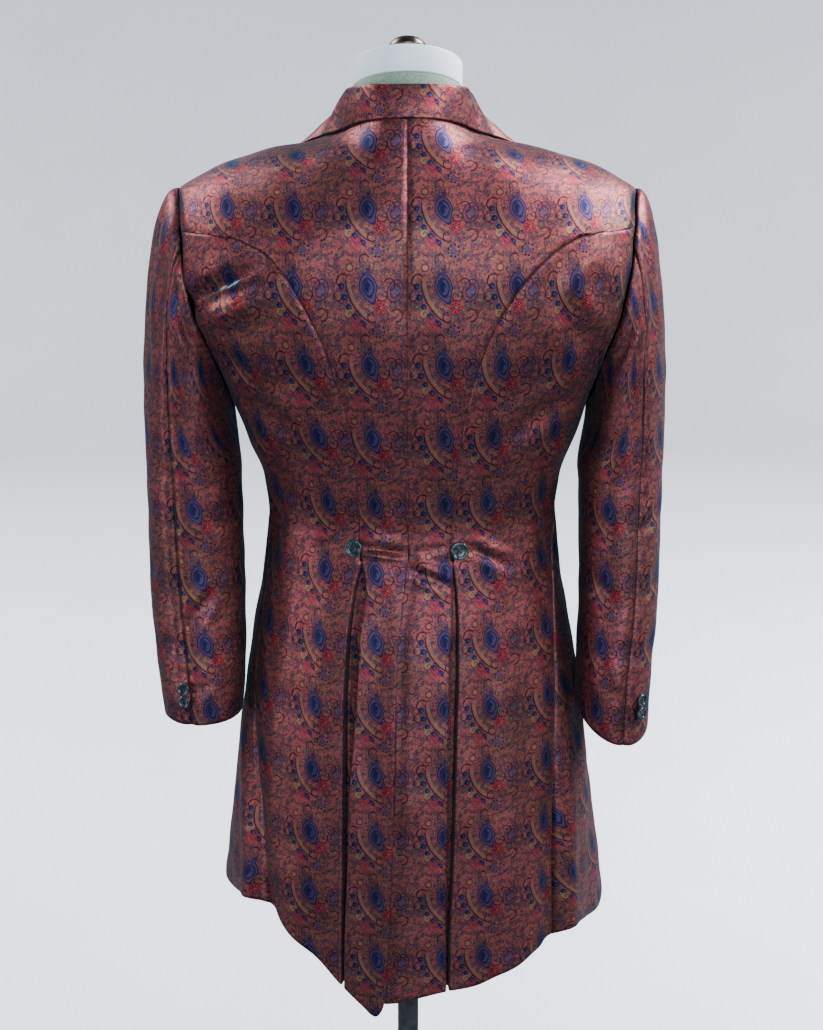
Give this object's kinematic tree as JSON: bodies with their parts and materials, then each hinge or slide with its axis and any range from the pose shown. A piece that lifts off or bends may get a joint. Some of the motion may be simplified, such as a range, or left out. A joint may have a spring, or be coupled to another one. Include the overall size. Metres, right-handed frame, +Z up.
{
  "type": "frock coat on a dress form",
  "caption": "Knee-length fitted frock coat in shot silk with pleated skirt and centre vent, worn by a limbless dress form on a round base.",
  "frame": {"origin": "middle of the stand base's underside, on the floor", "axes": "+Z up, -Y out of the coat's back, +X towards the wearer's right"},
  "size_m": [0.5687, 0.3617, 1.5802],
  "materials": {
    "silk": "shot silk jacquard with a paisley weave, lustrous, coral where lit and dark plum in shade",
    "button": "polished dark horn, dished, with sewing holes",
    "form_cover": "close green cover cloth, matt",
    "neck_block": "white painted block, satin",
    "knob": "dark turned metal",
    "stand": "dark satin paint"
  },
  "bodies": {
    "root": {"back_left": "silk", "back_right": "silk", "side_back_left": "silk", "side_back_right": "silk", "front_left": "silk", "front_right": "silk", "lapel_left": "silk", "lapel_right": "silk", "collar_stand": "silk", "collar_fall": "silk", "upper_sleeve_left": "silk", "upper_sleeve_right": "silk", "under_sleeve_left": "silk", "under_sleeve_right": "silk", "waist_button_left": "button", "waist_button_right": "button", "cuff_button_left_1": "button", "cuff_button_left_2": "button", "cuff_button_right_1": "button", "cuff_button_right_2": "button", "front_button_1": "button", "front_button_2": "button", "front_button_3": "button", "form_torso": "form_cover", "form_neck": "neck_block", "form_knob": "knob", "form_pole": "stand", "form_base": "stand"}
  },
  "joints": []
}
